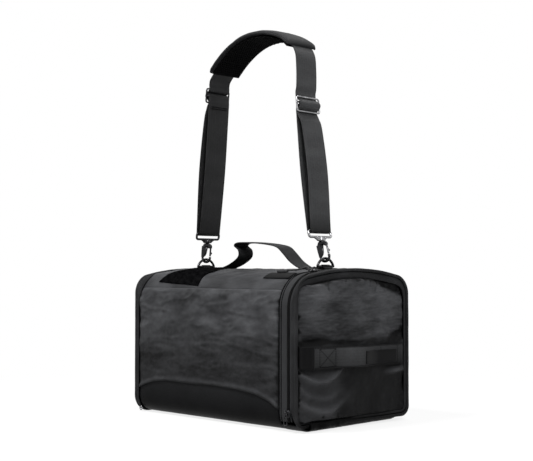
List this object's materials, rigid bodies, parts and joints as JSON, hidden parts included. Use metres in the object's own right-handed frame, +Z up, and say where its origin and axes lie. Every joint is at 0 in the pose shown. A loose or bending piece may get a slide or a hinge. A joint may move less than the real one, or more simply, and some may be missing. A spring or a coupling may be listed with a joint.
{
  "type": "shoe bag",
  "caption": "Box-shaped soft bag for shoes with a zipped end flap, webbing handles, and a padded shoulder strap on snap hooks and D-rings.",
  "frame": {"origin": "middle of the base's underside", "axes": "+X towards the zipped end flap, -Y towards the front with the patches, +Z up"},
  "size_m": [0.3636, 0.2275, 0.571],
  "materials": {
    "body_fabric": "coated ripstop weave",
    "coated_base": "smooth glossy coating",
    "webbing": "ribbed webbing",
    "zip_plastic": "satin",
    "black_nickel": "polished black nickel",
    "pad_cover": "knitted cover",
    "pad_grip": "dotted grip",
    "loop_pile": "loop pile",
    "bare_label": "moulded, bare"
  },
  "bodies": {
    "bag": {"base_panel": "coated_base", "front_panel": "body_fabric", "back_panel": "body_fabric", "top_panel": "body_fabric", "base_board": "zip_plastic", "plain_end_binding": "webbing", "plain_end_panel": "body_fabric", "body_zip_tape": "zip_plastic", "body_zip_coil": "zip_plastic", "flap_hinge_strip": "webbing", "left_ring_tab": "webbing", "right_ring_tab": "webbing", "carry_handle": "webbing", "pile_patch": "loop_pile", "label_patch": "bare_label", "corner_eyelet": "black_nickel"},
    "flap": {"flap_binding": "webbing", "flap_panel": "body_fabric", "flap_zip_coil": "zip_plastic", "flap_zip_tape": "zip_plastic", "flap_handle": "webbing", "flap_handle_patch": "bare_label", "flap_tag": "webbing"},
    "top_slider": {"top_slider": "black_nickel"},
    "top_pull": {"top_pull_tab": "black_nickel", "top_puller_cord": "webbing", "top_puller_grip": "zip_plastic"},
    "low_slider": {"low_slider": "black_nickel"},
    "low_pull": {"low_pull_tab": "black_nickel"},
    "left_ring": {"left_ring": "black_nickel"},
    "right_ring": {"right_ring": "black_nickel"},
    "strap": {"strap_webbing": "webbing", "shoulder_pad": "pad_cover", "pad_grip": "pad_grip", "left_glide": "black_nickel", "right_glide": "black_nickel", "left_hook_loop": "black_nickel", "right_hook_loop": "black_nickel"},
    "left_hook": {"left_hook_body": "black_nickel", "left_gate_pin": "black_nickel"},
    "left_gate": {"left_hook_gate": "black_nickel"},
    "right_hook": {"right_hook_body": "black_nickel", "right_gate_pin": "black_nickel"},
    "right_gate": {"right_hook_gate": "black_nickel"}
  },
  "joints": [
    {"name": "flap_hinge", "type": "hinge", "parent": "bag", "child": "flap", "pos_m": [0.1654, 0, 0.0092], "axis": [0, 1, 0], "range_deg": [0, 80]},
    {"name": "top_slider_travel", "type": "hinge", "parent": "bag", "child": "top_slider", "pos_m": [0.14615, 0, -0.204], "axis": [-1, 0, 0], "range_deg": [0, 4.6]},
    {"name": "top_pull_lift", "type": "hinge", "parent": "top_slider", "child": "top_pull", "pos_m": [0.14615, -0.05872, 0.21713], "axis": [-1, 0, 0], "range_deg": [0, 110]},
    {"name": "low_slider_travel", "type": "slide", "parent": "bag", "child": "low_slider", "axis": [0, 0, 1], "range_m": [0, 0.125]},
    {"name": "low_pull_lift", "type": "hinge", "parent": "low_slider", "child": "low_pull", "pos_m": [0.14615, -0.1152, 0.025], "axis": [-1, 0, 0], "range_deg": [0, 150]},
    {"name": "strap_swing", "type": "hinge", "parent": "bag", "child": "strap", "pos_m": [0, 0, 0.213], "axis": [1, 0, 0], "range_deg": [-30, 30]},
    {"name": "left_ring_pivot", "type": "hinge", "parent": "bag", "child": "left_ring", "pos_m": [-0.136, 0, 0.21955], "axis": [0, 1, 0], "range_deg": [-3, 6]},
    {"name": "left_hook_swivel", "type": "hinge", "parent": "strap", "child": "left_hook", "pos_m": [-0.136, 0, 0.2312], "axis": [0.1132, 0, 0.9936], "range_deg": [-40, 5]},
    {"name": "left_gate_hinge", "type": "hinge", "parent": "left_hook", "child": "left_gate", "pos_m": [-0.1276, 0.00222, 0.25093], "axis": [-0.3398, 0.9397, 0.0387], "range_deg": [0, 20], "stiffness_Nm_per_rad": 0.01, "springref_deg": -11.46},
    {"name": "right_ring_pivot", "type": "hinge", "parent": "bag", "child": "right_ring", "pos_m": [0.115, 0, 0.21955], "axis": [0, 1, 0], "range_deg": [-6, 3]},
    {"name": "right_hook_swivel", "type": "hinge", "parent": "strap", "child": "right_hook", "pos_m": [0.115, 0, 0.2312], "axis": [-0.2924, 0, 0.9563], "range_deg": [-40, 5]},
    {"name": "right_gate_hinge", "type": "hinge", "parent": "right_hook", "child": "right_gate", "pos_m": [0.11483, 0.00222, 0.25264], "axis": [-0.3271, 0.9397, -0.1], "range_deg": [0, 20], "stiffness_Nm_per_rad": 0.01, "springref_deg": -11.46}
  ]
}
